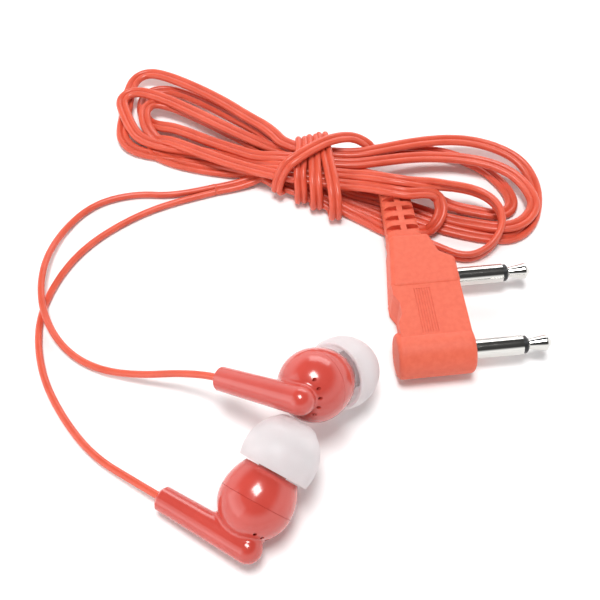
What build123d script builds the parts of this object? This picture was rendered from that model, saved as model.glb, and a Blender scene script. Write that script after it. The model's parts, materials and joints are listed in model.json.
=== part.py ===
from build123d import *
import os
from math import cos, pi, radians, sin, sqrt, tan

# Wired earphones with ball-shaped earbuds and a twin-pin plug, lying on a table.
# Millimetres. +X is the way the plug's pins point, +Z is up, and the table is Z = 0.
# The origin is under the middle of the two earbuds.

os.makedirs("parts", exist_ok=True)

# ---- earbud ----
BALL_RADIUS = 6.2
SHELL_WALL = 0.85
SEAM_DEPTH = 0.08             # fine groove where the two shells meet
FRONT_DEPTH = 5.15            # seam to the flat front face
FRONT_FACE_RADIUS = 4.65
SPIGOT_LENGTH = 0.9           # the rear shell's lip inside the front shell
SPIGOT_WALL = 0.4
FIT_GAP = 0.07
NOZZLE_RADIUS = 2.5
NOZZLE_BORE_RADIUS = 1.8
NOZZLE_END = 11.6
NOZZLE_LIP_RADIUS = 2.8
NOZZLE_LIP_START = 10.6
NOZZLE_LIP_LENGTH = 0.4
MESH_THICKNESS = 0.25
MESH_RADIUS = 2.1
MESH_HOLE_RADIUS = 0.16
MESH_PITCH = 0.62
STEM_OFFSET = 6.9             # ball centre to stem axis
STEM_CORD_END = 14.8
STEM_ROUND_END = -2.4
STEM_CORD_END_RADIUS = 2.1
STEM_ROUND_RADIUS = 2.4
STEM_BORE_RADIUS = 1.1
STEM_EDGE = 0.45
SADDLE_RADIUS = 0.7
VENT_COUNT = 5
VENT_PITCH_DEG = 21
VENT_RADIUS = 0.28
VENT_RING_X = -4.3
FELT_OUTER_RADIUS = 3.75
FELT_INNER_RADIUS = 2.2
FELT_X = -3.3
FELT_THICKNESS = 0.4

# ---- driver capsule, along the nozzle axis ----
DRIVER_RADIUS = 4.7
FRAME_BACK_X = -1.0
FRAME_FRONT_X = 2.2
FRAME_WALL = 0.45
YOKE_RADIUS = 3.4
YOKE_BACK_X = -1.9
YOKE_FRONT_X = 0.7
YOKE_WALL = 0.5
MAGNET_RADIUS = 2.35
TOP_PLATE_THICKNESS = 0.5
COIL_INNER_RADIUS = 2.5
COIL_OUTER_RADIUS = 2.75
COIL_BACK_X = -0.3
COIL_FRONT_X = 1.25
DIAPHRAGM_RADIUS = 4.2
DIAPHRAGM_THICKNESS = 0.12
DIAPHRAGM_RISE = 0.45
COVER_THICKNESS = 0.25
COVER_HOLE_RADIUS = 0.45
COVER_HOLE_COUNT = 6
COVER_HOLE_RING = 2.4
BOARD_LENGTH = 4.6
BOARD_WIDTH = 2.0
BOARD_THICKNESS = 0.35
PAD_RADIUS = 0.45
PAD_SPACING = 2.6
PAD_HEIGHT = 0.15

# ---- silicone ear tip ----
TIP_BACK_X = 5.35
TIP_BACK_RADIUS = 5.95
TIP_WIDEST_X = 7.9
TIP_WIDEST_RADIUS = 6.3
TIP_SHOULDER = (10.9, 5.55)   # points on the tip's outline, along the nozzle and out from it
TIP_BELOW_BROW = (12.3, 4.75)
TIP_BROW = (13.3, 3.75)
TIP_ABOVE_BROW = (14.0, 2.95)
TIP_FRONT_X = 14.3
TIP_MOUTH_RADIUS = 2.0
TIP_SKIRT_WALL = 0.55
TIP_SLEEVE_RADIUS = 3.35
TIP_SLEEVE_BACK_X = 7.2
TIP_GROOVE_CLEARANCE = 0.06
TIP_WEB_X = 11.7              # where the skirt leaves the tip's inner sleeve
TIP_WEB_BEND = (10.8, 4.95)
TIP_SKIRT_BEND = (9.4, 5.6)

# ---- where each earbud lies: ball centre, nozzle azimuth and tilt, stem azimuth ----
EARBUDS = {
    "left": {"centre": (-3.3, -9.25, 6.2), "nozzle": (53.5, 19.5), "stem": 141.7},
    "right": {"centre": (7.9, 7.85, 11.0), "nozzle": (38.0, -31.0), "stem": 143.5},
}

# ---- plug ----
PIN_RADIUS = 1.75
PIN_HEIGHT = 4.15             # pin axes above the table
NEAR_PIN_Y = 15.65
PIN_SPACING = 15.8
BODY_LEFT_X = 23.4
BODY_FACE_X = 37.2            # the face that the pins stand out of
BARREL_RADIUS = 4.15
BODY_TOP_Z = 8.2
BODY_BOTTOM_Z = 0.1
WAIST_STEP = 0.25             # the waist is this much thinner, above and below
WAIST_LEFT_INSET = 1.0
WAIST_FACE_INSET = 0.3
WAIST_CORNER = 0.5
WAIST_NEAR_Y = 17.2
WAIST_FAR_Y = 27.8
NOTCH_NEAR_Y = 20.2
NOTCH_FAR_Y = 26.4
NOTCH_DEPTH = 1.9
SHOULDER_NEAR_Y = 33.7
SHOULDER_BEND = (34.5, 35.4)  # the hollow corner between the face and the collar
SHOULDER_FAR_Y = 39.6
COLLAR_FAR_Y = 40.8
COLLAR_LEFT_X = 25.8
COLLAR_RIGHT_X = 32.6
COLLAR_BOTTOM_Z = 1.5
COLLAR_TOP_Z = 6.9
COLLAR_CORNER = 1.6
BODY_EDGE = 0.9
HEAD_CORNER = 1.0
HEAD_LEFT_X = 24.3            # the head narrows from here to the collar
COLLAR_SHOULDER = 0.6         # the head reaches this far past the collar on either side
RIDGE_COUNT = 7
RIDGE_PITCH = 0.46
RIDGE_WIDTH = 0.2
RIDGE_DEPTH = 0.12
RIDGE_NEAR_INSET = 0.6
RIDGE_FAR_INSET = 0.6
RIDGE_FIRST_X = 28.2
BOOT_FAR_Y = 54.2
BOOT_END_WIDTH = 5.6
BOOT_END_HEIGHT = 4.3
BOOT_END_CORNER = 1.5
BOOT_STEP = 0.15              # the boot starts this much inside the collar
BOOT_SLOT_COUNT = 5
BOOT_SLOT_FIRST_Y = 42.3
BOOT_SLOT_PITCH = 2.4
BOOT_SLOT_LENGTH = 1.25
BOOT_SLOT_WIDTH = 3.0         # past the side, so the ribs stand free
BOOT_SLOT_DEPTH = 1.4
BOOT_BRIDGE = 1.1
SLEEVE_OUT = 8.9              # face to the end of the earth sleeve
RING_LENGTH = 1.0
RING_RADIUS = 1.58
RING_BEVEL = 0.35
TIP_LENGTH = 3.4
TIP_NECK_RADIUS = 0.95
TIP_NECK_EDGE = 0.25
TIP_END_RADIUS = 1.45
NOSE_LENGTH = 0.75
NOSE_END_RADIUS = 0.6
PIN_ROOT_X = 31.0
PIN_ROOT_RADIUS = 1.5         # the sleeve inside the moulding
PIN_FLANGE_RADIUS = 2.3
PIN_FLANGE_LENGTH = 1.2
ROD_RADIUS = 0.6
LINER_RADIUS = 1.0
LINER_BACK = 0.6
ROD_BACK_X = 28.2
LUG_RADIUS = 1.5
LUG_LENGTH = 0.7
LUG_X = 29.2
LUG_GAP = 0.02
LUG_TAIL_LENGTH = 1.6
LUG_TAIL_WIDTH = 1.0
LUG_TAIL_THICKNESS = 0.4
CAVITY_LEFT_X = 26.2
CAVITY_HEIGHT = 4.6
CAVITY_WIDTH = 4.8
CHANNEL_WIDTH = 3.4           # the way from the boot to the pins inside the body
CHANNEL_HEIGHT = 2.4
WIRE_RADIUS = 0.25
WIRE_X = 27.1
WIRE_SIDE_STEP = 0.45
WIRE_HEIGHT_STEP = 0.8
WIRE_START = 2.4
WIRE_END = 5.2

# ---- cord ----
STRAND_DIAMETER = 1.3
TWIN_WIDTH = 2.6
KNOT_RADIUS = 0.9
KNOT_Y = 1.0                  # the knot's place along the stem's bore
HANK_TOP_Z = 7.0
HANK_CORNER = 2.0
LEFT_LOOPS = [
    (11.0, 69.7), (-2.5, 84.2), (-11.0, 92.7), (-20.0, 95.7), (-25.0, 89.2), (-25.5, 76.7),
    (-17.5, 69.7), (-6.0, 65.4), (-6.0, 58.6), (8.0, 56.7),
]
RIGHT_LOOPS = [
    (17.5, 66.7), (30.0, 68.7), (47.0, 69.0), (57.0, 63.2), (60.0, 54.2), (57.5, 45.2),
    (49.5, 38.7), (40.5, 37.0), (36.5, 40.4), (25.0, 43.7), (15.5, 53.2),
]
WAIST_CENTRE = (14.2, 61.4)
WAIST_ANGLE_DEG = -17.0
WAIST_WIDTH = 11.6
WAIST_BOTTOM_Z = 1.5
WAIST_TOP_Z = 6.1
WAIST_LENGTH = 22.0
WINDING_LENGTH = 10.6
WINDING_WIDTH = 14.6
WINDING_TOP_Z = 7.6
WINDING_CORNER = 2.2
CLEAR = 0.3                   # room kept round the boot and body inside the hank
ABOVE_ALL_Z = 12.0
BODY_ROOM_LEFT_X = 13.0
BODY_ROOM_NEAR_Y = 23.0

RIGHT_STRAND_ROUTE = [
    (-6.1, 61.5, 0.75), (-14.0, 60.0, 0.7), (-22.5, 61.6, 0.7), (-31.0, 59.6, 0.75),
    (-37.0, 53.0, 0.9), (-39.9, 44.2, 2.5), (-40.0, 35.2, 2.5), (-37.2, 27.8, 0.9),
    (-31.8, 22.0, 0.75), (-24.0, 18.5, 1.6),
]
LEFT_STRAND_ROUTE = [
    (-6.1, 60.1, 0.75), (-15.0, 58.4, 0.75), (-24.0, 54.8, 0.7), (-32.5, 48.8, 0.7),
    (-38.0, 40.8, 0.7), (-40.8, 31.6, 0.7), (-39.6, 21.2, 0.7), (-35.6, 12.0, 0.7),
    (-30.0, 3.8, 0.9),
]
STRAIGHT_OUT = 5.0            # the strand leaves a stem along the stem for this far
BEND_SHARE = 0.45             # the share of a straight run that the bend at its end takes

WRITTEN = {}


def write(name, shape):
    WRITTEN[name] = shape
    export_step(shape, f"parts/{name}.step")


def direction(azimuth_deg, tilt_deg):
    azimuth, tilt = radians(azimuth_deg), radians(tilt_deg)
    return Vector(cos(tilt) * cos(azimuth), cos(tilt) * sin(azimuth), sin(tilt))


def turned(points):
    """Solid of revolution about X from (x, radius) corners."""
    face = make_face(Polyline(*points, close=True))
    return revolve(face, Axis.X)


def turned_wire(*edges):
    """Solid of revolution about X from touching edges."""
    return revolve(make_face(Wire(list(edges))), Axis.X)


def along_x(radius, start, end, inner=0.0):
    """Cylinder or tube about X."""
    if inner:
        return turned([(start, inner), (end, inner), (end, radius), (start, radius)])
    return turned([(start, 0), (end, 0), (end, radius), (start, radius)])


def block(low, high):
    size = [b - a for a, b in zip(low, high)]
    middle = [(a + b) / 2 for a, b in zip(low, high)]
    return Pos(*middle) * Box(*size)


# ---------------------------------------------------------------- earbud pieces
# Each is built with the ball centre at the origin, the nozzle along +X and the stem along +Y.

def rear_shell():
    ball = turned_wire(
        Line((0, 0), (0, BALL_RADIUS)),
        CenterArc((0, 0), BALL_RADIUS, 90, 90),
        Line((-BALL_RADIUS, 0), (0, 0)),
    )
    stem_profile = Wire([
        Line((0, STEM_ROUND_END - STEM_ROUND_RADIUS), (0, STEM_CORD_END)),
        Line((0, STEM_CORD_END), (STEM_CORD_END_RADIUS - STEM_EDGE, STEM_CORD_END)),
        Line((STEM_CORD_END_RADIUS - STEM_EDGE, STEM_CORD_END),
             (STEM_CORD_END_RADIUS, STEM_CORD_END - STEM_EDGE)),
        Line((STEM_CORD_END_RADIUS, STEM_CORD_END - STEM_EDGE), (STEM_ROUND_RADIUS, STEM_ROUND_END)),
        CenterArc((0, STEM_ROUND_END), STEM_ROUND_RADIUS, -90, 90),
    ])
    stem = Pos(-STEM_OFFSET, 0, 0) * revolve(make_face(stem_profile), Axis.Y)
    shell = ball + stem
    saddle = [e for e in shell.edges() if -BALL_RADIUS < e.center().X < -STEM_OFFSET / 2
              and abs(e.center().Y) < STEM_ROUND_RADIUS * 2]
    shell = fillet(max(saddle, key=lambda e: e.length), SADDLE_RADIUS)
    far = BALL_RADIUS + 1
    hollow = Sphere(BALL_RADIUS - SHELL_WALL) - block((0, -far, -far), (far, far, far))
    bore = Pos(-STEM_OFFSET, STEM_CORD_END / 2, 0) * (
        Rot(90, 0, 0) * Cylinder(STEM_BORE_RADIUS, STEM_CORD_END))
    passage = along_x(STEM_BORE_RADIUS, -STEM_OFFSET, -BALL_RADIUS / 2)
    shell = shell - hollow - bore - passage
    for number in range(VENT_COUNT):
        turn = 180 + VENT_PITCH_DEG * (number - (VENT_COUNT - 1) / 2)
        vent_y = sqrt(BALL_RADIUS**2 - VENT_RING_X**2)
        hole = Pos(VENT_RING_X, vent_y, 0) * (Rot(90, 0, 0) * Cylinder(VENT_RADIUS, SHELL_WALL * 3))
        shell = shell - Rot(turn, 0, 0) * hole
    inner = BALL_RADIUS - SHELL_WALL - FIT_GAP
    spigot = along_x(inner, -SPIGOT_LENGTH, SPIGOT_LENGTH, inner - SPIGOT_WALL)
    root = along_x(BALL_RADIUS - SHELL_WALL / 2, -SPIGOT_LENGTH / 2, 0, inner - SPIGOT_WALL)
    return shell + spigot + root - seam_groove()


def seam_groove():
    """Shallow V all round the ball at the shells' joint."""
    return turned([(-SEAM_DEPTH, BALL_RADIUS + SEAM_DEPTH), (0, BALL_RADIUS - SEAM_DEPTH),
                   (SEAM_DEPTH, BALL_RADIUS + SEAM_DEPTH)])


def shell_arc(offset):
    """Front shell's side, from the seam to the flat front face, moved inwards by offset."""
    depth, rise = FRONT_DEPTH, BALL_RADIUS - FRONT_FACE_RADIUS
    radius = (depth**2 + rise**2) / (2 * rise)
    centre_y = BALL_RADIUS - radius
    end_x = depth - offset
    end_y = centre_y + sqrt((radius - offset) ** 2 - end_x**2)
    mid_x = end_x / 2
    mid_y = centre_y + sqrt((radius - offset) ** 2 - mid_x**2)
    return ThreePointArc((0, BALL_RADIUS - offset), (mid_x, mid_y), (end_x, end_y)), (end_x, end_y)


def front_shell():
    outer, outer_end = shell_arc(0)
    inner, inner_end = shell_arc(SHELL_WALL)
    body = turned_wire(outer, Line(outer_end, (outer_end[0], 0)), Line((outer_end[0], 0), (0, 0)),
                       Line((0, 0), (0, BALL_RADIUS)))
    hollow = turned_wire(inner, Line(inner_end, (inner_end[0], 0)), Line((inner_end[0], 0), (0, 0)),
                         Line((0, 0), (0, BALL_RADIUS - SHELL_WALL)))
    nozzle = turned([
        (FRONT_DEPTH - SHELL_WALL, 0), (FRONT_DEPTH - SHELL_WALL, NOZZLE_RADIUS),
        (NOZZLE_LIP_START, NOZZLE_RADIUS), (NOZZLE_LIP_START, NOZZLE_LIP_RADIUS),
        (NOZZLE_LIP_START + NOZZLE_LIP_LENGTH, NOZZLE_LIP_RADIUS),
        (NOZZLE_END, NOZZLE_RADIUS), (NOZZLE_END, 0),
    ])
    seat = along_x(MESH_RADIUS, NOZZLE_END - MESH_THICKNESS, NOZZLE_END)
    return body - hollow + nozzle - along_x(NOZZLE_BORE_RADIUS, 0, NOZZLE_END) - seat - seam_groove()


def hole_grid(radius, pitch, reach):
    """Holes along X on a triangular grid inside a circle."""
    holes = []
    steps = int(reach / pitch) + 1
    for row in range(-steps, steps + 1):
        for column in range(-steps, steps + 1):
            y = pitch * (column + 0.5 * (row % 2))
            z = pitch * sqrt(3) / 2 * row
            if sqrt(y * y + z * z) <= reach:
                holes.append(Pos(0, y, z) * (Rot(0, 90, 0) * Cylinder(radius, MESH_THICKNESS * 4)))
    return holes


def nozzle_mesh():
    disc = along_x(MESH_RADIUS, NOZZLE_END - MESH_THICKNESS, NOZZLE_END)
    holes = hole_grid(MESH_HOLE_RADIUS, MESH_PITCH, NOZZLE_BORE_RADIUS - MESH_HOLE_RADIUS)
    return disc - [Pos(NOZZLE_END, 0, 0) * h for h in holes]


def driver_frame():
    back = along_x(DRIVER_RADIUS, FRAME_BACK_X, FRAME_BACK_X + FRAME_WALL, YOKE_RADIUS)
    side = along_x(DRIVER_RADIUS, FRAME_BACK_X, FRAME_FRONT_X, DRIVER_RADIUS - FRAME_WALL)
    return back + side


def driver_yoke():
    cup = along_x(YOKE_RADIUS, YOKE_BACK_X, YOKE_FRONT_X)
    return cup - along_x(YOKE_RADIUS - YOKE_WALL, YOKE_BACK_X + YOKE_WALL, YOKE_FRONT_X)


def driver_magnet():
    return along_x(MAGNET_RADIUS, YOKE_BACK_X + YOKE_WALL, YOKE_FRONT_X - TOP_PLATE_THICKNESS)


def driver_top_plate():
    return along_x(MAGNET_RADIUS, YOKE_FRONT_X - TOP_PLATE_THICKNESS, YOKE_FRONT_X)


def voice_coil():
    return along_x(COIL_OUTER_RADIUS, COIL_BACK_X, COIL_FRONT_X, COIL_INNER_RADIUS)


def diaphragm():
    low, high = COIL_FRONT_X, COIL_FRONT_X + DIAPHRAGM_THICKNESS
    flat = along_x(DIAPHRAGM_RADIUS, low, high, COIL_OUTER_RADIUS)
    dome = turned_wire(
        ThreePointArc((low, COIL_OUTER_RADIUS),
                      (low + DIAPHRAGM_RISE * 0.75, COIL_OUTER_RADIUS / 2), (low + DIAPHRAGM_RISE, 0)),
        Line((low + DIAPHRAGM_RISE, 0), (high + DIAPHRAGM_RISE, 0)),
        ThreePointArc((high + DIAPHRAGM_RISE, 0),
                      (high + DIAPHRAGM_RISE * 0.75, COIL_OUTER_RADIUS / 2), (high, COIL_OUTER_RADIUS)),
        Line((high, COIL_OUTER_RADIUS), (low, COIL_OUTER_RADIUS)),
    )
    return flat + dome


def driver_cover():
    plate = along_x(DRIVER_RADIUS, FRAME_FRONT_X, FRAME_FRONT_X + COVER_THICKNESS)
    hole = along_x(COVER_HOLE_RADIUS, FRAME_FRONT_X, FRAME_FRONT_X + COVER_THICKNESS)
    ring = [Rot(360 / COVER_HOLE_COUNT * number, 0, 0) * Pos(0, COVER_HOLE_RING, 0) * hole
            for number in range(COVER_HOLE_COUNT)]
    return plate - ring - hole


def terminal_board():
    back = YOKE_BACK_X - BOARD_THICKNESS
    board = block((back, -BOARD_WIDTH / 2, -BOARD_LENGTH / 2),
                  (YOKE_BACK_X, BOARD_WIDTH / 2, BOARD_LENGTH / 2))
    pads = [Pos(0, 0, side * PAD_SPACING / 2) * along_x(PAD_RADIUS, back - PAD_HEIGHT, back)
            for side in (-1, 1)]
    return board + pads


def vent_felt():
    return along_x(FELT_OUTER_RADIUS, FELT_X - FELT_THICKNESS, FELT_X, FELT_INNER_RADIUS)


def cord_knot():
    """The strand's last stretch inside the stem, and the knot that stops it pulling out."""
    lead = Pos(-STEM_OFFSET, (STEM_CORD_END + KNOT_Y) / 2, 0) * (
        Rot(90, 0, 0) * Cylinder(STRAND_DIAMETER / 2, STEM_CORD_END - KNOT_Y))
    knot = Pos(-STEM_OFFSET, KNOT_Y, 0) * Sphere(KNOT_RADIUS)
    return lead + knot


def ear_tip():
    skin = TIP_SKIRT_WALL
    outer = [
        ThreePointArc((TIP_BACK_X, TIP_BACK_RADIUS), (TIP_WIDEST_X, TIP_WIDEST_RADIUS), TIP_SHOULDER),
        ThreePointArc(TIP_SHOULDER, TIP_BELOW_BROW, TIP_BROW),
        ThreePointArc(TIP_BROW, TIP_ABOVE_BROW, (TIP_FRONT_X, TIP_MOUTH_RADIUS)),
    ]
    bore = NOZZLE_RADIUS + TIP_GROOVE_CLEARANCE
    lip = NOZZLE_LIP_RADIUS + TIP_GROOVE_CLEARANCE
    groove_start = NOZZLE_LIP_START - TIP_GROOVE_CLEARANCE
    groove_end = NOZZLE_END + TIP_GROOVE_CLEARANCE
    inside = [
        (TIP_FRONT_X, TIP_MOUTH_RADIUS), (groove_end, TIP_MOUTH_RADIUS), (groove_end, lip),
        (groove_start, lip), (groove_start, bore), (TIP_SLEEVE_BACK_X, bore),
        (TIP_SLEEVE_BACK_X, TIP_SLEEVE_RADIUS), (TIP_WEB_X, TIP_SLEEVE_RADIUS),
    ]
    skirt = ThreePointArc((TIP_WEB_X, TIP_SLEEVE_RADIUS), TIP_WEB_BEND, TIP_SKIRT_BEND)
    tail = ThreePointArc(TIP_SKIRT_BEND, (TIP_WIDEST_X, TIP_WIDEST_RADIUS - skin),
                         (TIP_BACK_X, TIP_BACK_RADIUS - skin))
    edges = outer + [Line(a, b) for a, b in zip(inside, inside[1:])]
    edges += [skirt, tail, Line((TIP_BACK_X, TIP_BACK_RADIUS - skin), (TIP_BACK_X, TIP_BACK_RADIUS))]
    return revolve(make_face(Wire(edges)), Axis.X)


EARBUD_PIECES = {
    "rear_shell": rear_shell, "front_shell": front_shell, "nozzle_mesh": nozzle_mesh,
    "driver_frame": driver_frame, "driver_yoke": driver_yoke, "driver_magnet": driver_magnet,
    "driver_top_plate": driver_top_plate, "voice_coil": voice_coil, "diaphragm": diaphragm,
    "driver_cover": driver_cover, "terminal_board": terminal_board, "vent_felt": vent_felt,
    "cord_knot": cord_knot, "ear_tip": ear_tip,
}


def earbud_plane(place):
    nozzle = direction(*place["nozzle"])
    flat = direction(place["stem"], 0)
    tilt = -(nozzle.dot(flat)) / nozzle.Z
    stem = Vector(flat.X, flat.Y, tilt).normalized()
    return Plane(origin=place["centre"], x_dir=nozzle, z_dir=nozzle.cross(stem))


# ---------------------------------------------------------------- plug pieces

def plug_body():
    far_pin_y = NEAR_PIN_Y + PIN_SPACING
    length = BODY_FACE_X - BODY_LEFT_X
    middle_x = (BODY_FACE_X + BODY_LEFT_X) / 2
    barrel = Pos(middle_x, NEAR_PIN_Y, PIN_HEIGHT) * (Rot(0, 90, 0) * Cylinder(BARREL_RADIUS, length))
    barrel = fillet(barrel.edges().filter_by(GeomType.CIRCLE), BODY_EDGE)
    waist = fillet(waist_block().edges().filter_by(Axis.Z), WAIST_CORNER)
    head = fillet(head_block().edges().filter_by(Axis.Z), HEAD_CORNER)
    faces = head.faces().sort_by(Axis.Z)
    head = fillet(faces[-1].edges() + faces[0].edges(), BODY_EDGE)
    collar = block((COLLAR_LEFT_X, SHOULDER_FAR_Y - COLLAR_SHOULDER, COLLAR_BOTTOM_Z),
                   (COLLAR_RIGHT_X, COLLAR_FAR_Y, COLLAR_TOP_Z))
    collar = fillet(collar.edges().filter_by(Axis.Y), COLLAR_CORNER)
    body = barrel + waist + head + collar - ridge_grooves()
    for y in (NEAR_PIN_Y, far_pin_y):
        pocket = block((CAVITY_LEFT_X, y - CAVITY_WIDTH / 2, PIN_HEIGHT - CAVITY_HEIGHT / 2),
                       (PIN_ROOT_X, y + CAVITY_WIDTH / 2, PIN_HEIGHT + CAVITY_HEIGHT / 2))
        seat = along_x(PIN_ROOT_RADIUS, PIN_ROOT_X, BODY_FACE_X) + along_x(
            PIN_FLANGE_RADIUS, PIN_ROOT_X, PIN_ROOT_X + PIN_FLANGE_LENGTH)
        body = body - pocket - Pos(0, y, PIN_HEIGHT) * seat
    channel = block((CAVITY_LEFT_X, NEAR_PIN_Y, PIN_HEIGHT - CHANNEL_HEIGHT / 2),
                    (CAVITY_LEFT_X + CHANNEL_WIDTH, COLLAR_FAR_Y, PIN_HEIGHT + CHANNEL_HEIGHT / 2))
    return body - channel


def waist_block():
    left, right = BODY_LEFT_X + WAIST_LEFT_INSET, BODY_FACE_X - WAIST_FACE_INSET
    notch_x = BODY_LEFT_X + NOTCH_DEPTH
    outline = Polyline(
        (left, NEAR_PIN_Y), (right, NEAR_PIN_Y), (right, WAIST_FAR_Y + 1), (left, WAIST_FAR_Y + 1),
        (left, NOTCH_FAR_Y), (notch_x, NOTCH_FAR_Y - NOTCH_DEPTH),
        (notch_x, NOTCH_NEAR_Y + NOTCH_DEPTH), (left, NOTCH_NEAR_Y), close=True)
    low, high = BODY_BOTTOM_Z + WAIST_STEP, BODY_TOP_Z - WAIST_STEP
    return Pos(0, 0, low) * extrude(make_face(outline), high - low)


def head_block():
    outline = Polyline(
        (HEAD_LEFT_X, WAIST_FAR_Y), (BODY_FACE_X, WAIST_FAR_Y), (BODY_FACE_X, SHOULDER_NEAR_Y),
        SHOULDER_BEND, (COLLAR_RIGHT_X + COLLAR_SHOULDER, SHOULDER_FAR_Y),
        (COLLAR_LEFT_X, SHOULDER_FAR_Y), close=True)
    return Pos(0, 0, BODY_BOTTOM_Z) * extrude(make_face(outline), BODY_TOP_Z - BODY_BOTTOM_Z)


def ridge_grooves():
    """Fine grooves across the waist, above and below, for grip."""
    grooves = []
    for number in range(RIDGE_COUNT):
        x = RIDGE_FIRST_X + RIDGE_PITCH * number
        for z in (BODY_BOTTOM_Z + WAIST_STEP, BODY_TOP_Z - WAIST_STEP):
            grooves.append(block(
                (x, WAIST_NEAR_Y + RIDGE_NEAR_INSET, z - RIDGE_DEPTH),
                (x + RIDGE_WIDTH, WAIST_FAR_Y - RIDGE_FAR_INSET, z + RIDGE_DEPTH)))
    return grooves


def plug_strain_relief():
    base = near_plane_of_boot()
    width = COLLAR_RIGHT_X - COLLAR_LEFT_X - BOOT_STEP * 2
    height = COLLAR_TOP_Z - COLLAR_BOTTOM_Z - BOOT_STEP * 2
    near = base * RectangleRounded(width, height, COLLAR_CORNER)
    far = base.offset(BOOT_FAR_Y - COLLAR_FAR_Y) * RectangleRounded(
        BOOT_END_WIDTH, BOOT_END_HEIGHT, BOOT_END_CORNER)
    boot = loft([near, far])
    x = middle_of_collar()
    for number in range(BOOT_SLOT_COUNT):
        y = BOOT_SLOT_FIRST_Y + BOOT_SLOT_PITCH * number
        for side in (-1, 1):
            centre_x = x + side * (BOOT_BRIDGE / 2 + BOOT_SLOT_WIDTH / 2)
            for z in (COLLAR_TOP_Z - BOOT_STEP, COLLAR_BOTTOM_Z + BOOT_STEP):
                slot = Box(BOOT_SLOT_WIDTH, BOOT_SLOT_LENGTH, BOOT_SLOT_DEPTH * 2)
                boot = boot - Pos(centre_x, y, z) * slot
    cord_way = extrude(base * SlotOverall(TWIN_WIDTH, STRAND_DIAMETER), BOOT_FAR_Y - COLLAR_FAR_Y)
    return boot - cord_way


def middle_of_collar():
    return (COLLAR_LEFT_X + COLLAR_RIGHT_X) / 2


def near_plane_of_boot():
    middle_z = (COLLAR_BOTTOM_Z + COLLAR_TOP_Z) / 2
    return Plane(origin=(middle_of_collar(), COLLAR_FAR_Y, middle_z), x_dir=(1, 0, 0), z_dir=(0, 1, 0))


def pin_sleeve():
    """Earth contact: the round pin, with a thinner root and a flange held in the moulding."""
    sleeve = along_x(PIN_RADIUS, BODY_FACE_X, BODY_FACE_X + SLEEVE_OUT, LINER_RADIUS)
    root = along_x(PIN_ROOT_RADIUS, PIN_ROOT_X, BODY_FACE_X, LINER_RADIUS)
    flange = along_x(PIN_FLANGE_RADIUS, PIN_ROOT_X, PIN_ROOT_X + PIN_FLANGE_LENGTH, LINER_RADIUS)
    return sleeve + root + flange


def pin_insulator():
    """Inner liner with the black ring between the earth sleeve and the tip."""
    ring_x = BODY_FACE_X + SLEEVE_OUT
    end = ring_x + RING_LENGTH
    liner = along_x(LINER_RADIUS, PIN_ROOT_X - LINER_BACK, ring_x, ROD_RADIUS)
    ring = turned([(ring_x, ROD_RADIUS), (ring_x, RING_RADIUS), (end - RING_BEVEL, RING_RADIUS),
                   (end, RING_RADIUS - RING_BEVEL), (end, ROD_RADIUS)])
    return liner + ring


def pin_tip():
    """Signal contact: the waisted tip, and the rod through the liner to its solder tail."""
    start = BODY_FACE_X + SLEEVE_OUT + RING_LENGTH
    end = start + TIP_LENGTH
    return turned([
        (ROD_BACK_X, 0), (ROD_BACK_X, ROD_RADIUS), (start, ROD_RADIUS),
        (start, TIP_NECK_RADIUS + TIP_NECK_EDGE), (start + TIP_NECK_EDGE, TIP_NECK_RADIUS),
        (end - TIP_NECK_EDGE, TIP_END_RADIUS), (end, TIP_END_RADIUS),
        (end + NOSE_LENGTH, NOSE_END_RADIUS), (end + NOSE_LENGTH, 0),
    ])


def solder_lug():
    ring = along_x(LUG_RADIUS, LUG_X, LUG_X + LUG_LENGTH, LINER_RADIUS + LUG_GAP)
    tail = block((LUG_X - LUG_TAIL_LENGTH, -LUG_TAIL_WIDTH / 2, LUG_RADIUS - LUG_TAIL_THICKNESS),
                 (LUG_X + LUG_LENGTH, LUG_TAIL_WIDTH / 2, LUG_RADIUS))
    return ring + tail


PIN_PIECES = {"sleeve": pin_sleeve, "insulator": pin_insulator, "tip": pin_tip, "solder_lug": solder_lug}


def plug_wires():
    """Four bared ends from the twin cord to the pins' tails, as one group."""
    wires = []
    for y in (NEAR_PIN_Y, NEAR_PIN_Y + PIN_SPACING):
        for side in (-1, 1):
            x = WIRE_X + WIRE_SIDE_STEP * side
            z = PIN_HEIGHT + WIRE_HEIGHT_STEP * side
            wires.append(between((x, y + WIRE_START, z), (x, y + WIRE_END, z), WIRE_RADIUS))
    return Compound(children=wires)


def between(start, end, radius):
    """Round bar from one point to another."""
    path = Line(start, end)
    profile = Plane(origin=start, z_dir=Vector(*end) - Vector(*start)) * Circle(radius)
    return sweep(profile, path)


# ---------------------------------------------------------------- cord

def slab(points, low, high):
    outline = FilletPolyline(*points, radius=HANK_CORNER, close=True)
    return Pos(0, 0, low) * extrude(make_face(outline), high - low)


def waist_box(length, width, low, high):
    origin = (*WAIST_CENTRE, (low + high) / 2)
    place = Plane(origin=origin, x_dir=direction(WAIST_ANGLE_DEG, 0), z_dir=(0, 0, 1))
    return place * Box(length, width, high - low)


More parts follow.
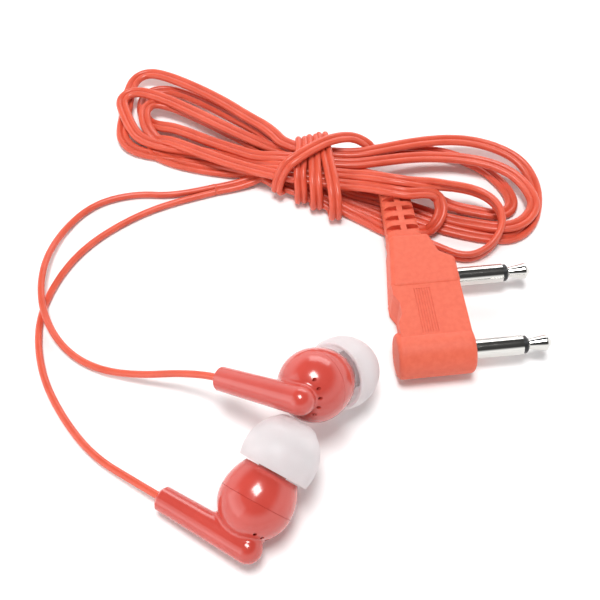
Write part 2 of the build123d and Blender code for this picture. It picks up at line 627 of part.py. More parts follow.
def cord_hank():
    left = slab(LEFT_LOOPS, 0, HANK_TOP_Z)
    right = slab(RIGHT_LOOPS, 0, HANK_TOP_Z)
    band = waist_box(WINDING_LENGTH, WINDING_WIDTH * 3, -1, ABOVE_ALL_Z)
    waist = waist_box(WAIST_LENGTH, WAIST_WIDTH, WAIST_BOTTOM_Z, WAIST_TOP_Z)
    hank = (left - band) + (right - band) + waist
    side_room = COLLAR_SHOULDER + CLEAR
    boot_room = block((COLLAR_LEFT_X - side_room, SHOULDER_NEAR_Y, COLLAR_BOTTOM_Z - BOOT_STEP),
                      (COLLAR_RIGHT_X + side_room, BOOT_FAR_Y, ABOVE_ALL_Z))
    body_room = block((BODY_ROOM_LEFT_X, BODY_ROOM_NEAR_Y, -1),
                      (BODY_FACE_X + CLEAR, SHOULDER_FAR_Y + CLEAR, ABOVE_ALL_Z))
    return hank - boot_room - body_room


def cord_winding():
    outer = waist_box(WINDING_LENGTH, WINDING_WIDTH, 0, WINDING_TOP_Z)
    axis = direction(WAIST_ANGLE_DEG, 0)
    long_edges = [e for e in outer.edges() if abs((e @ 1 - e @ 0).normalized().dot(axis)) > 0.99]
    outer = fillet(long_edges, WINDING_CORNER)
    return outer - waist_box(WAIST_LENGTH, WAIST_WIDTH, WAIST_BOTTOM_Z, WAIST_TOP_Z)


def strand(route):
    """Tube on straight runs and the largest tangent arcs that they have room for."""
    points = [Vector(*p) for p in route]
    radii = []
    for before, here, after in zip(points, points[1:], points[2:]):
        shorter = min((here - before).length, (after - here).length)
        turn = (here - before).get_angle(after - here)
        radii.append(BEND_SHARE * shorter / tan(radians(turn) / 2))
    path = FilletPolyline(*points, radius=radii)
    start = Plane(origin=path @ 0, z_dir=path % 0)
    tube = sweep(start * Circle(STRAND_DIAMETER / 2), path)
    print("strand length", round(path.length, 1), "radii", [round(r, 1) for r in radii],
          "volume ratio", round(tube.volume / (path.length * pi * STRAND_DIAMETER**2 / 4), 4))
    return tube


def stem_end(place):
    """Where the strand enters the stem, and a point straight out from there."""
    plane = earbud_plane(place)
    inside = plane.from_local_coords((-STEM_OFFSET, STEM_CORD_END, 0))
    outside = plane.from_local_coords((-STEM_OFFSET, STEM_CORD_END + STRAIGHT_OUT, 0))
    return [tuple(outside), tuple(inside)]


def main():
    for side, place in EARBUDS.items():
        plane = earbud_plane(place)
        for name, make in EARBUD_PIECES.items():
            write(f"{side}_{name}", plane * make())
    write("plug_body", plug_body())
    write("plug_strain_relief", plug_strain_relief())
    for label, y in (("near", NEAR_PIN_Y), ("far", NEAR_PIN_Y + PIN_SPACING)):
        for name, make in PIN_PIECES.items():
            write(f"{label}_pin_{name}", Pos(0, y, PIN_HEIGHT) * make())
    write("plug_wires", plug_wires())
    write("twin_cord_hank", cord_hank())
    write("twin_cord_winding", cord_winding())
    write("right_cord", strand(RIGHT_STRAND_ROUTE + stem_end(EARBUDS["right"])))
    write("left_cord", strand(LEFT_STRAND_ROUTE + stem_end(EARBUDS["left"])))
    for side, place in EARBUDS.items():
        print(side, "stem end", [tuple(round(v, 2) for v in p) for p in stem_end(place)])
    buds = Compound(children=[s for n, s in WRITTEN.items()
                              if n.startswith(("left_", "right_")) and not n.endswith("_cord")])
    gap = WRITTEN["left_ear_tip"].distance_to(WRITTEN["right_rear_shell"])
    print("gap between the left ear tip and the right stem", round(gap, 2))
    box = buds.bounding_box()
    print("earbuds' box", box.min, box.max, "centre", box.center())


main()
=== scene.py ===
"""Looks of a pair of wired earphones lying on a white table.

Metres, in the CAD part's frame: +X is the way the plug's pins point, +Y runs from the earbuds to
the hank of cord, +Z is up and the table is Z = 0. Routes are written in millimetres and scaled.
"""

import json
from math import cos, radians, sin

import bmesh
import bpy
from mathutils import Matrix, Vector


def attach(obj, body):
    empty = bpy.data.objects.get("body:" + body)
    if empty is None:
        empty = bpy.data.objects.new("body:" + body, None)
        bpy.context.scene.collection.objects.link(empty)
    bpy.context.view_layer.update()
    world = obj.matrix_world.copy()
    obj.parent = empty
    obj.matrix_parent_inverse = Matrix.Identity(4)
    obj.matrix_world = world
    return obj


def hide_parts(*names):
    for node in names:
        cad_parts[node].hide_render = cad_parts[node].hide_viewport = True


MM = 0.001

# ---- sizes shared with the CAD part, in millimetres ----
STRAND_DIAMETER = 1.3
TWIN_WIDTH = 2.6
STEM_OFFSET = 6.9
STEM_CORD_END = 14.8
STRAIGHT_OUT = 5.0
BOOT_X = 29.2
BOOT_Z = 4.2
COLLAR_FAR_Y = 40.8
BOOT_FAR_Y = 54.2
EARBUDS = {
    "left": {"centre": (-3.3, -9.25, 6.2), "nozzle": (53.5, 19.5), "stem": 141.7},
    "right": {"centre": (7.9, 7.85, 11.0), "nozzle": (38.0, -31.0), "stem": 143.5},
}

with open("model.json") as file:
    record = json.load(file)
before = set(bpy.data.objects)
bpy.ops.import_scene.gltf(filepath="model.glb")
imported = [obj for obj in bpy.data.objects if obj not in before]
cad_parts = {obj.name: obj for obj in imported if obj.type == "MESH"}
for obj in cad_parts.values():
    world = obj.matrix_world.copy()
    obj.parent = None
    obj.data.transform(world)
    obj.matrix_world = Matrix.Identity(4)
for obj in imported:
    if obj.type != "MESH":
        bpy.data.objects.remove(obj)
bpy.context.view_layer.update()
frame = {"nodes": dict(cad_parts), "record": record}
nodes = frame["nodes"]


# ---------------------------------------------------------------- camera

CAMERA_POINT = (-2.51, -64.97, 145.08)
CAMERA_TARGET = (8.23, 32.30, 0.0)
CAMERA_LENS = 55.5
CAMERA_SENSOR = 36
NEAREST_SEEN = 0.01


def millimetres(point):
    """Point given in millimetres, as a vector in metres."""
    return Vector(point) * MM


def add_camera():
    camera = bpy.data.objects.new("camera", bpy.data.cameras.new("camera"))
    bpy.context.scene.collection.objects.link(camera)
    camera.data.sensor_width = CAMERA_SENSOR
    camera.data.lens = CAMERA_LENS
    camera.data.clip_start = NEAREST_SEEN
    camera.location = millimetres(CAMERA_POINT)
    sight = millimetres(CAMERA_TARGET) - camera.location
    camera.rotation_euler = sight.to_track_quat("-Z", "Y").to_euler()
    bpy.context.scene.camera = camera


add_camera()


# ---------------------------------------------------------------- cords

LINE_STEPS = 12
STRAND_ROUND_STEPS = 5
TWIN_ROUND_STEPS = 12
TWIN_ARC = 165      # each side of the twin cord is round for this far either way, in degrees
SPLIT = (-6.1, 60.8, 0.75)
RIGHT_STRAND_ROUTE = [
    (-6.1, 61.5, 0.75), (-14.0, 60.0, 0.7), (-22.5, 61.6, 0.7), (-31.0, 59.6, 0.75),
    (-37.0, 53.0, 0.9), (-39.9, 44.2, 2.5), (-40.0, 35.2, 2.5), (-37.2, 27.8, 0.9),
    (-31.8, 22.0, 0.75), (-24.0, 18.5, 1.6),
]
LEFT_STRAND_ROUTE = [
    (-6.1, 60.1, 0.75), (-15.0, 58.4, 0.75), (-24.0, 54.8, 0.7), (-32.5, 48.8, 0.7),
    (-38.0, 40.8, 0.7), (-40.8, 31.6, 0.7), (-39.6, 21.2, 0.7), (-35.6, 12.0, 0.7),
    (-30.0, 3.8, 0.9),
]
FLAT = (0, 0, 1)


def direction(azimuth_deg, tilt_deg):
    """Unit vector that points this way."""
    azimuth, tilt = radians(azimuth_deg), radians(tilt_deg)
    return Vector((cos(tilt) * cos(azimuth), cos(tilt) * sin(azimuth), sin(tilt)))


def earbud_place(place):
    """Matrix from an earbud's own frame (nozzle along X, stem along Y) to the part's frame, in mm."""
    nozzle = direction(*place["nozzle"])
    level = direction(place["stem"], 0)
    stem = Vector((level.x, level.y, -nozzle.dot(level) / nozzle.z)).normalized()
    side = nozzle.cross(stem)
    turn = Matrix((nozzle, stem, side)).transposed().to_4x4()
    return Matrix.Translation(Vector(place["centre"])) @ turn


def stem_end(place):
    """Where the strand enters the stem, and a point straight out from there."""
    matrix = earbud_place(place)
    inside = matrix @ Vector((-STEM_OFFSET, STEM_CORD_END, 0))
    outside = matrix @ Vector((-STEM_OFFSET, STEM_CORD_END + STRAIGHT_OUT, 0))
    return [tuple(outside), tuple(inside)]


def nurbs_line(name, points, radius=0.0):
    """Smooth open line with these points as its control points, and its radius, all in mm."""
    curve = bpy.data.curves.new(name, "CURVE")
    curve.dimensions = "3D"
    spline = curve.splines.new("NURBS")
    spline.points.add(len(points) - 1)
    for control, point in zip(spline.points, points):
        control.co = (*millimetres(point), 1)
        control.radius = radius * MM
    spline.order_u = 3
    spline.use_endpoint_u = True
    spline.resolution_u = LINE_STEPS
    # The control points carry the real radius, so the depth that it is multiplied by is one.
    curve.bevel_depth = 1.0 if radius else 0.0
    curve.bevel_resolution = STRAND_ROUND_STEPS
    curve.use_fill_caps = radius > 0
    line = bpy.data.objects.new(name, curve)
    bpy.context.scene.collection.objects.link(line)
    return line


def points_along(line):
    """Points read from a smooth line that has no thickness."""
    bpy.context.view_layer.update()
    mesh = bpy.data.meshes.new_from_object(line)
    points = [vertex.co.copy() for vertex in mesh.vertices]
    bpy.data.meshes.remove(mesh)
    bpy.data.objects.remove(line)
    return points


def twin_profile():
    """Outline of two round strands moulded side by side: (across, up) in metres."""
    radius = STRAND_DIAMETER * MM / 2
    centre = TWIN_WIDTH * MM / 2 - radius
    outline = []
    for side in (1, -1):
        for step in range(TWIN_ROUND_STEPS + 1):
            turn = radians(TWIN_ARC * (2 * step / TWIN_ROUND_STEPS - 1))
            outline.append((side * (centre + radius * cos(turn)), side * radius * sin(turn)))
    return outline


def twin_tube(name, controls):
    """Figure-of-eight cord along control points, each a (point, up) pair. Up is its thin way."""
    points = points_along(nurbs_line("route", [point for point, up in controls]))
    lifted = points_along(nurbs_line("lift", [Vector(point) + Vector(up) for point, up in controls]))
    profile = twin_profile()
    mesh = bmesh.new()
    rings = []
    for index, point in enumerate(points):
        before = points[max(index - 1, 0)]
        after = points[min(index + 1, len(points) - 1)]
        ahead = (after - before).normalized()
        across = ahead.cross(lifted[index] - point).normalized()
        up = across.cross(ahead).normalized()
        rings.append([mesh.verts.new(point + across * a + up * u) for a, u in profile])
    for ring, following in zip(rings, rings[1:]):
        for number in range(len(ring)):
            other = (number + 1) % len(ring)
            corners = (ring[number], following[number], following[other], ring[other])
            face = mesh.faces.new(corners)
            face.smooth = True
    mesh.faces.new(rings[0])
    mesh.faces.new(reversed(rings[-1]))
    bmesh.ops.recalc_face_normals(mesh, faces=mesh.faces)
    data = bpy.data.meshes.new(name)
    mesh.to_mesh(data)
    mesh.free()
    tube = bpy.data.objects.new(name, data)
    bpy.context.scene.collection.objects.link(tube)
    return tube, points


# The hank's waist: the bundle is squeezed here, and its strands lie in four columns, from the near
# side to the far side, and three layers.
WAIST_CENTRE = Vector((14.2, 61.4, 0))
WAIST_ALONG = direction(-17.0, 0)
WAIST_ACROSS = direction(73.0, 0)
WAIST_REACH = 6.5
COLUMN_NEAR = -4.0
COLUMN_NEAR_MIDDLE = -1.3
COLUMN_FAR_MIDDLE = 1.4
COLUMN_FAR = 4.1
LAYER_LOW = 2.1
LAYER_MIDDLE = 3.5
LAYER_TOP = 4.9


def in_waist(along, across, height):
    """Point measured from the middle of the waist, along the bundle and across it."""
    place = WAIST_CENTRE + WAIST_ALONG * along + WAIST_ACROSS * across
    return (place.x, place.y, height)


def lane(across, height):
    """Two points where a strand passes the waist, right end first."""
    return [in_waist(WAIST_REACH, across, height), in_waist(-WAIST_REACH, across, height)]


def slanting_lane(right, left, height):
    """Two points where a strand crosses the waist, from one distance across to another."""
    return [in_waist(0, (right + left) / 2, height), in_waist(-WAIST_REACH, left, height)]


# Each loop is written from the waist round to the waist.
LEFT_OUTER = [
    (2.4, 63.4, 2.0), (-3.9, 67.0, 1.0), (-10.5, 69.8, 0.7), (-17.4, 71.4, 0.7), (-22.6, 73.4, 0.9),
    (-24.8, 76.4, 1.4), (-24.8, 80.2, 1.4), (-23.8, 85.0, 1.6), (-23.2, 90.2, 2.0),
    (-21.6, 94.0, 2.2), (-18.5, 95.0, 2.5), (-14.5, 92.8, 3.0), (-8.5, 88.0, 3.5),
    (-2.7, 82.5, 4.0), (1.8, 77.2, 4.5), (6.4, 72.4, 5.0),
]
LEFT_INNER = [
    (4.7, 73.5, 3.0), (-0.6, 79.0, 2.2), (-6.2, 84.6, 1.6), (-10.7, 88.6, 1.0),
    (-15.0, 91.0, 0.8), (-18.8, 90.6, 0.8), (-20.4, 87.6, 1.0), (-20.4, 83.6, 1.2),
    (-19.2, 80.2, 1.8), (-17.0, 78.4, 2.4), (-14.0, 77.4, 2.6), (-10.6, 75.4, 2.6),
    (-6.7, 72.6, 2.8), (-1.1, 68.8, 3.4), (3.2, 65.8, 4.0),
]
LEFT_FAR = [
    (5.6, 69.0, 3.4), (-1.9, 74.8, 3.4), (-8.0, 79.4, 3.8), (-14.3, 84.2, 4.0), (-19.6, 87.4, 4.0),
    (-23.0, 88.0, 3.6), (-24.8, 85.8, 3.4), (-24.0, 82.4, 3.2), (-23.0, 79.0, 2.8),
    (-21.2, 75.4, 2.4), (-17.0, 73.0, 2.1), (-10.3, 71.0, 2.1), (-3.7, 68.0, 2.4),
    (2.7, 64.3, 3.2),
]
LEFT_SHORT = [
    (3.4, 63.8, 1.4), (-3.5, 65.2, 0.7), (-10.2, 67.4, 0.7), (-15.0, 69.6, 0.7),
    (-18.6, 72.4, 0.7), (-18.4, 75.2, 1.4), (-15.4, 74.2, 2.4), (-11.0, 70.6, 3.4),
    (-6.0, 67.2, 3.6), (0.4, 63.4, 3.8),
]
LEFT_MIDDLE = [
    (2.6, 71.2, 2.0), (-4.0, 76.8, 2.0), (-9.6, 81.0, 2.4), (-14.2, 83.8, 2.8),
    (-17.6, 84.8, 3.2), (-19.7, 83.0, 3.4), (-19.9, 79.8, 3.3), (-18.9, 76.6, 2.4),
    (-16.6, 74.4, 1.4), (-13.0, 73.2, 0.9), (-8.0, 71.4, 0.7), (-1.0, 67.0, 0.7), (4.2, 62.6, 1.2),
]
RIGHT_OUTER = [
    (28.3, 64.2, 5.0), (35.3, 65.8, 4.4), (42.1, 66.6, 3.8), (47.8, 66.2, 3.2),
    (53.3, 64.1, 2.6), (57.5, 60.8, 1.8), (59.1, 56.0, 1.0), (58.7, 50.9, 0.7), (56.1, 44.9, 0.7),
    (51.9, 41.8, 0.7), (46.9, 42.3, 0.7), (41.3, 44.3, 0.7), (37.0, 46.4, 0.7), (33.4, 48.6, 0.7),
    (26.6, 52.6, 0.7), (19.6, 55.4, 1.0),
]
RIGHT_INNER = [
    (27.8, 61.2, 4.8), (34.6, 62.1, 4.2), (41.1, 61.8, 3.8), (46.6, 60.7, 3.6),
    (51.4, 58.6, 3.6), (55.2, 55.4, 3.2), (57.1, 51.2, 2.7), (57.0, 47.4, 2.6), (53.5, 43.9, 2.3),
    (48.9, 43.6, 2.1), (45.3, 45.2, 1.6), (41.6, 46.9, 1.0), (38.0, 48.8, 0.7), (34.4, 51.0, 0.7),
    (26.9, 55.2, 0.7), (19.9, 57.4, 1.4),
]
RIGHT_NEAR = [
    (24.6, 55.8, 6.8), (28.8, 53.3, 8.0), (33.1, 52.2, 7.7), (39.1, 52.4, 6.0),
    (43.8, 52.1, 4.8), (47.0, 50.6, 4.4), (49.0, 48.1, 4.2), (49.6, 45.1, 3.8), (48.8, 42.1, 3.2),
    (46.2, 39.2, 2.0), (42.9, 37.7, 1.5), (39.9, 38.0, 1.4), (37.1, 39.8, 1.4), (33.2, 42.6, 1.4),
    (27.7, 45.6, 0.9), (23.2, 49.6, 0.7), (19.6, 52.4, 0.8),
]
RIGHT_SMALL = [
    (24.3, 53.3, 6.4), (28.4, 50.8, 7.5), (31.5, 49.7, 7.5), (35.2, 50.5, 6.6),
    (37.5, 50.5, 5.4), (38.1, 48.8, 4.2), (37.7, 47.0, 3.4), (36.2, 45.2, 2.4), (34.2, 44.8, 0.9),
    (28.8, 48.0, 0.7), (24.4, 51.4, 0.7), (20.0, 53.8, 0.8),
]
RIGHT_LAST = [
    (27.1, 65.2, 3.4), (32.8, 65.4, 2.8), (41.5, 65.5, 1.6), (49.2, 61.1, 0.8), (52.7, 55.6, 0.8),
    (53.7, 51.2, 0.8), (52.3, 48.4, 0.8), (49.4, 47.9, 0.8), (46.3, 49.0, 0.8), (42.8, 50.2, 0.9),
    (39.5, 51.6, 1.4), (37.6, 53.3, 2.4), (35.0, 54.7, 3.2), (31.1, 56.3, 3.8), (26.3, 58.0, 4.0),
]
# Near-side feet and far-side heads of the three turns that bind the waist, from right to left.
WINDING_FEET = [(17.3, 50.6), (13.9, 53.6), (11.0, 55.6)]
WINDING_HEADS = [(16.7, 68.0), (14.7, 67.6), (12.4, 67.2)]
# One turn, from below the foot up the near side, over the top, down the far side and back below:
# the end that a point is measured from, how far beyond it along Y, its height and the thin way.
WINDING_OUTLINE = [
    ("foot", 2.0, 1.0, (0, -0.3, -1)), ("foot", -0.6, 1.0, (0, -0.8, -0.6)),
    ("foot", -0.6, 4.6, (0, -1, 0.2)), ("foot", 2.4, 6.9, (0, -0.6, 0.8)),
    ("middle", 0.0, 7.2, FLAT), ("head", -1.4, 7.2, (0, 0.3, 1)),
    ("head", 0.5, 6.8, (0, 0.8, 0.6)), ("head", 0.5, 1.0, (0, 0.8, -0.6)),
    ("head", -1.6, 1.0, (0, 0.3, -1)),
]
# The cord's way out of the boot, into the winding and out to the split.
OUT_OF_BOOT = [(BOOT_X, 56.6, 4.0), (26.6, 58.4, 3.4), (23.4, 58.6, 3.2)]
INTO_WINDING = ((16.6, 53.4, 1.3), (0.2, -0.4, -0.8))
TO_SPLIT = [(3.4, 62.4, 1.6), (-2.0, 61.2, 0.8), SPLIT]
HIDDEN_IN_BOOT = 0.2      # how far past the collar the cord begins
OVER_THE_TOP = [
    ((6.4, 57.3, 1.7), (-0.6, -0.7, -0.3)), ((6.3, 57.7, 4.0), (-0.7, -0.7, 0.2)),
    ((8.0, 58.8, 8.2), (-0.3, -0.4, 0.9)), ((10.9, 60.4, 9.0), FLAT), ((14.0, 62.5, 8.9), FLAT),
    ((17.9, 64.9, 8.4), FLAT), ((22.3, 66.7, 7.0), FLAT), ((25.6, 66.6, 5.0), FLAT),
]


def lying(points):
    """Twin cord with its broad side down."""
    return [(point, FLAT) for point in points]


def standing(points, flat_ends=3):
    """Twin cord turned on edge, except for this many points at each end."""
    edge = []
    for index, point in enumerate(points):
        before = Vector(points[max(index - 1, 0)])
        after = Vector(points[min(index + 1, len(points) - 1)])
        side = (after - before).normalized().cross(Vector(FLAT)).normalized()
        flat = index < flat_ends or index >= len(points) - flat_ends
        edge.append((point, FLAT if flat else tuple(side)))
    return edge


def winding():
    """Turns of the cord round the waist."""
    controls = []
    for foot, head in zip(WINDING_FEET, WINDING_HEADS):
        middle = ((foot[0] + head[0]) / 2, (foot[1] + head[1]) / 2)
        ends = {"foot": foot, "middle": middle, "head": head}
        for end, beyond, height, thin_way in WINDING_OUTLINE:
            x, y = ends[end]
            controls.append(((x, y + beyond, height), thin_way))
    return controls


def twin_route():
    """The twin cord in one length, from inside the plug's boot to where it splits in two."""
    in_boot = [(BOOT_X, COLLAR_FAR_Y + HIDDEN_IN_BOOT, BOOT_Z), (BOOT_X, BOOT_FAR_Y, BOOT_Z)]
    last_lane = [in_waist(-WAIST_REACH, COLUMN_NEAR, LAYER_LOW), in_waist(-2.0, -4.6, 1.8)]
    return (
        lying(in_boot) + lying(OUT_OF_BOOT)
        + lying(lane(COLUMN_NEAR_MIDDLE, LAYER_MIDDLE)) + lying(LEFT_OUTER)
        + lying(lane(COLUMN_FAR, LAYER_TOP)[::-1]) + lying(RIGHT_OUTER)
        + lying(slanting_lane(-4.2, COLUMN_FAR, LAYER_LOW)) + lying(LEFT_INNER)
        + lying(lane(COLUMN_FAR_MIDDLE, LAYER_TOP)[::-1]) + lying(RIGHT_INNER)
        + lying(slanting_lane(-2.2, COLUMN_FAR, LAYER_MIDDLE)) + lying(LEFT_FAR)
        + lying(lane(COLUMN_NEAR_MIDDLE, LAYER_TOP)[::-1]) + standing(RIGHT_NEAR)
        + lying(slanting_lane(-7.5, COLUMN_NEAR_MIDDLE, LAYER_LOW)) + lying(LEFT_SHORT)
        + lying(lane(COLUMN_NEAR, LAYER_TOP)[::-1]) + lying(RIGHT_SMALL)
        + lying(slanting_lane(-5.8, COLUMN_FAR_MIDDLE, LAYER_LOW)) + lying(LEFT_MIDDLE)
        + lying(last_lane) + [INTO_WINDING] + winding() + OVER_THE_TOP
        + lying(RIGHT_LAST) + lying(lane(COLUMN_FAR_MIDDLE, LAYER_MIDDLE)) + lying(TO_SPLIT)
    )


twin_cord, twin_points = twin_tube("twin_cord", twin_route())
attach(twin_cord, "root")
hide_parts("twin_cord_hank", "twin_cord_winding")


def strand(side, route):
    """One earbud's single strand, from its stem to the split."""
    line_points = points_along(nurbs_line("strand_line", route))
    cord = nurbs_line(f"{side}_strand", route, STRAND_DIAMETER / 2)
    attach(cord, "root")
    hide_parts(f"{side}_cord")
    return cord


right_strand = strand("right", RIGHT_STRAND_ROUTE + stem_end(EARBUDS["right"]))
left_strand = strand("left", LEFT_STRAND_ROUTE + stem_end(EARBUDS["left"]))


# ---------------------------------------------------------------- materials

def srgb(text):
    """Linear colour from a hex colour as it looks on screen."""
    parts = [int(text[i:i + 2], 16) / 255 for i in (1, 3, 5)]
    linear = [p / 12.92 if p <= 0.04045 else ((p + 0.055) / 1.055) ** 2.4 for p in parts]
    return (*linear, 1.0)


def add_node(tree, kind, settings=None, **links):
    """A shader node with its settings, and its inputs linked from other sockets or set."""
    node = tree.nodes.new(kind)
    for key, value in (settings or {}).items():
        setattr(node, key, value)
    for key, value in links.items():
        socket = node.inputs[key.replace("_", " ")]
        if isinstance(value, bpy.types.NodeSocket):
            tree.links.new(value, socket)
        else:
            socket.default_value = value
    return node


def new_material(name, **values):
    """Material with its tree and main shader, the shader's own sockets set from values."""
    material = bpy.data.materials.new(name)
    material.use_nodes = True
    tree = material.node_tree
    shader = tree.nodes["Principled BSDF"]
    for key, value in values.items():
        shader.inputs[key.replace("_", " ")].default_value = value
    return material, tree, shader


def object_noise(tree, size_mm, detail=3.0):
    """Noise with features of this real size, fixed to the piece."""
    place = add_node(tree, "ShaderNodeTexCoord")
    return add_node(tree, "ShaderNodeTexNoise", Vector=place.outputs["Object"],
                    Scale=1 / (size_mm * MM), Detail=detail)


def mottle(tree, shader, size_mm, dark, light):
    """Slow change between two near colours."""
    noise = object_noise(tree, size_mm)
    ramp = add_node(tree, "ShaderNodeValToRGB", Fac=noise.outputs["Fac"])
    ramp.color_ramp.elements[0].position = 0.35
    ramp.color_ramp.elements[0].color = srgb(dark)
    ramp.color_ramp.elements[1].position = 0.65
    ramp.color_ramp.elements[1].color = srgb(light)
    tree.links.new(ramp.outputs["Color"], shader.inputs["Base Color"])


def roughen(tree, shader, size_mm, low, high):
    """Roughness that changes a little from place to place."""
    noise = object_noise(tree, size_mm)
    spread = add_node(tree, "ShaderNodeMapRange", Value=noise.outputs["Fac"],
                      To_Min=low, To_Max=high)
    tree.links.new(spread.outputs["Result"], shader.inputs["Roughness"])


def bump(tree, shader, size_mm, height_mm, strength=1.0):
    """Small relief of a real size and height."""
    noise = object_noise(tree, size_mm)
    relief = add_node(tree, "ShaderNodeBump", Height=noise.outputs["Fac"],
                      Distance=height_mm * MM, Strength=strength)
    tree.links.new(relief.outputs["Normal"], shader.inputs["Normal"])


def glossy_coral_abs():
    """Glossy moulded ABS: saturated coral with clear, sharp window-like reflections."""
    material, tree, shader = new_material("glossy_coral_abs", IOR=1.53, Coat_Weight=0.35,
                                          Coat_Roughness=0.05)
    mottle(tree, shader, 9.0, "#be4339", "#c64a40")
    roughen(tree, shader, 2.5, 0.16, 0.24)
    bump(tree, shader, 3.0, 0.012, 0.5)
    return material


def satin_coral_cord():
    """Soft PVC cord jacket: a broad satin highlight along each strand, with a faint extruded grain."""
    material, tree, shader = new_material("satin_coral_cord", IOR=1.5, Subsurface_Weight=0.08,
                                          Subsurface_Scale=0.0006)
    mottle(tree, shader, 5.0, "#d05138", "#d95b42")
    roughen(tree, shader, 0.8, 0.28, 0.4)
    bump(tree, shader, 0.35, 0.01, 0.5)
    return material


def matte_coral_pvc():
    """Moulded soft PVC of the plug: matte, slightly mottled and a little lighter at the surface."""
    material, tree, shader = new_material("matte_coral_pvc", IOR=1.5, Subsurface_Weight=0.1,
                                          Subsurface_Scale=0.0008)
    mottle(tree, shader, 0.9, "#d75c42", "#dc6348")
    roughen(tree, shader, 0.7, 0.5, 0.66)
    bump(tree, shader, 0.5, 0.02, 0.7)
    return material


def clear_silicone():
    """Translucent white silicone: milky and soft, with light coming through its thin skirt."""
    material, tree, shader = new_material("clear_silicone", Base_Color=srgb("#fdf8f9"), IOR=1.41,
                                          Subsurface_Weight=1.0, Subsurface_Radius=(1.0, 0.9, 0.9),
                                          Subsurface_Scale=0.003)
    roughen(tree, shader, 2.0, 0.28, 0.4)
    bump(tree, shader, 1.5, 0.01, 0.5)
    through = add_node(tree, "ShaderNodeBsdfTranslucent", Color=srgb("#fdf9fa"))
    mixed = add_node(tree, "ShaderNodeMixShader", Fac=0.42)
    tree.links.new(shader.outputs["BSDF"], mixed.inputs[1])
    tree.links.new(through.outputs["BSDF"], mixed.inputs[2])
    tree.links.new(mixed.outputs["Shader"], tree.nodes["Material Output"].inputs["Surface"])
    return material


def metal(name, colour, low, high, grain_mm=0.6):
    """Bare or plated metal, its polish a little uneven."""
    material, tree, shader = new_material(name, Base_Color=srgb(colour), Metallic=1.0)
    roughen(tree, shader, grain_mm, low, high)
    return material


def plain(name, colour, low, high, **values):
    """Dull material of an inner piece: one colour with an uneven finish."""
    material, tree, shader = new_material(name, Base_Color=srgb(colour), **values)
    roughen(tree, shader, 0.8, low, high)
    return material


MATERIALS = {
    "coral_abs": glossy_coral_abs(),
    "coral_pvc_cord": satin_coral_cord(),
    "coral_pvc": matte_coral_pvc(),
    "clear_silicone": clear_silicone(),
    "nickel": metal("nickel", "#d6d4d0", 0.08, 0.16, 1.5),            # bright plate, clear reflections
    "steel_mesh": metal("steel_mesh", "#b9b9b9", 0.25, 0.4),          # fine bright mesh
    "plated_steel": metal("plated_steel", "#b5b7b8", 0.25, 0.4),      # zinc-plated pressings
    "magnet": metal("magnet", "#c6c7c9", 0.12, 0.25),                 # bright plated magnet
    "copper_wire": metal("copper_wire", "#c77a4a", 0.3, 0.45),        # enamelled copper
    "tinned_brass": metal("tinned_brass", "#c9c3ae", 0.3, 0.45),      # dull tinned tag
    "driver_plastic": plain("driver_plastic", "#26262a", 0.5, 0.6),   # black moulded capsule
    "pet_film": plain("pet_film", "#d9d9d2", 0.2, 0.3),               # thin shiny film
    "circuit_board": plain("circuit_board", "#1f5a34", 0.4, 0.5),     # green glass board
    "felt": plain("felt", "#dcdbd5", 0.85, 0.95),                     # dull pressed felt
    "black_nylon": plain("black_nylon", "#1b1b1d", 0.35, 0.5),        # black moulded ring
}


def paint(piece, material):
    piece.data.materials.clear()
    piece.data.materials.append(material)


for subpart in frame["record"]["subparts"]:
    paint(nodes[subpart["node"]], MATERIALS[subpart["material_slot"]])
for cord in (twin_cord, right_strand, left_strand):
    paint(cord, MATERIALS["coral_pvc_cord"])


# ---------------------------------------------------------------- table, light

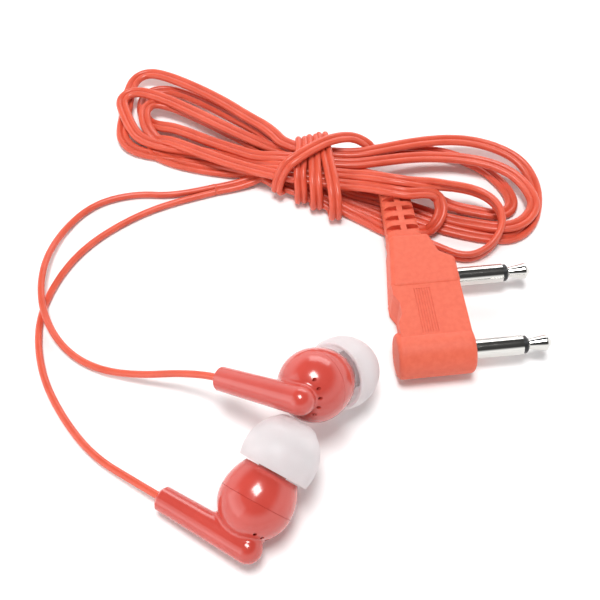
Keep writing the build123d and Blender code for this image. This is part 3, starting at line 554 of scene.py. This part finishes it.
TABLE_HALF_SIDE = 3.0
LIGHTS_AIM = (5.0, 35.0, 0.0)
WALL_TOP = 0.3
CEILING_START = 0.6


def white_table():
    """Seamless white paper, matte, which takes only soft shadows."""
    material, tree, shader = new_material("white_paper", Base_Color=srgb("#fbfbfb"),
                                          Specular_IOR_Level=0.2)
    roughen(tree, shader, 20.0, 0.85, 0.95)
    mesh = bmesh.new()
    bmesh.ops.create_grid(mesh, x_segments=1, y_segments=1, size=TABLE_HALF_SIDE)
    data = bpy.data.meshes.new("table")
    mesh.to_mesh(data)
    mesh.free()
    table = bpy.data.objects.new("table", data)
    bpy.context.scene.collection.objects.link(table)
    paint(table, material)


def area_light(name, place, size, power):
    """Rectangular light aimed at the earphones, its place and size in metres."""
    data = bpy.data.lights.new(name, "AREA")
    data.shape = "RECTANGLE"
    data.size, data.size_y = size
    data.energy = power
    light = bpy.data.objects.new(name, data)
    bpy.context.scene.collection.objects.link(light)
    light.location = place
    sight = millimetres(LIGHTS_AIM) - light.location
    light.rotation_euler = sight.to_track_quat("-Z", "Y").to_euler()


def surroundings(low, high):
    """White walls all round and a dark ceiling, which gives the bright pins their dark band."""
    world = bpy.data.worlds.new("studio")
    bpy.context.scene.world = world
    world.use_nodes = True
    tree = world.node_tree
    sky = add_node(tree, "ShaderNodeTexCoord")
    parts = add_node(tree, "ShaderNodeSeparateXYZ", Vector=sky.outputs["Generated"])
    fade = add_node(tree, "ShaderNodeMapRange", Value=parts.outputs["Z"],
                    From_Min=WALL_TOP, From_Max=CEILING_START, To_Min=low, To_Max=high)
    background = tree.nodes["Background"]
    background.inputs["Color"].default_value = srgb("#ffffff")
    tree.links.new(fade.outputs["Result"], background.inputs["Strength"])


white_table()
area_light("window", (-0.02, 0.02, 0.8), (0.32, 0.25), 5.2)
area_light("left", (-0.6, -0.1, 0.3), (0.8, 0.5), 1.5)
area_light("far", (0.25, 0.65, 0.42), (0.7, 0.3), 2.2)
surroundings(1.35, 0.06)
bpy.context.scene.view_settings.view_transform = "Standard"


# ---------------------------------------------------------------- update

bpy.context.view_layer.update()
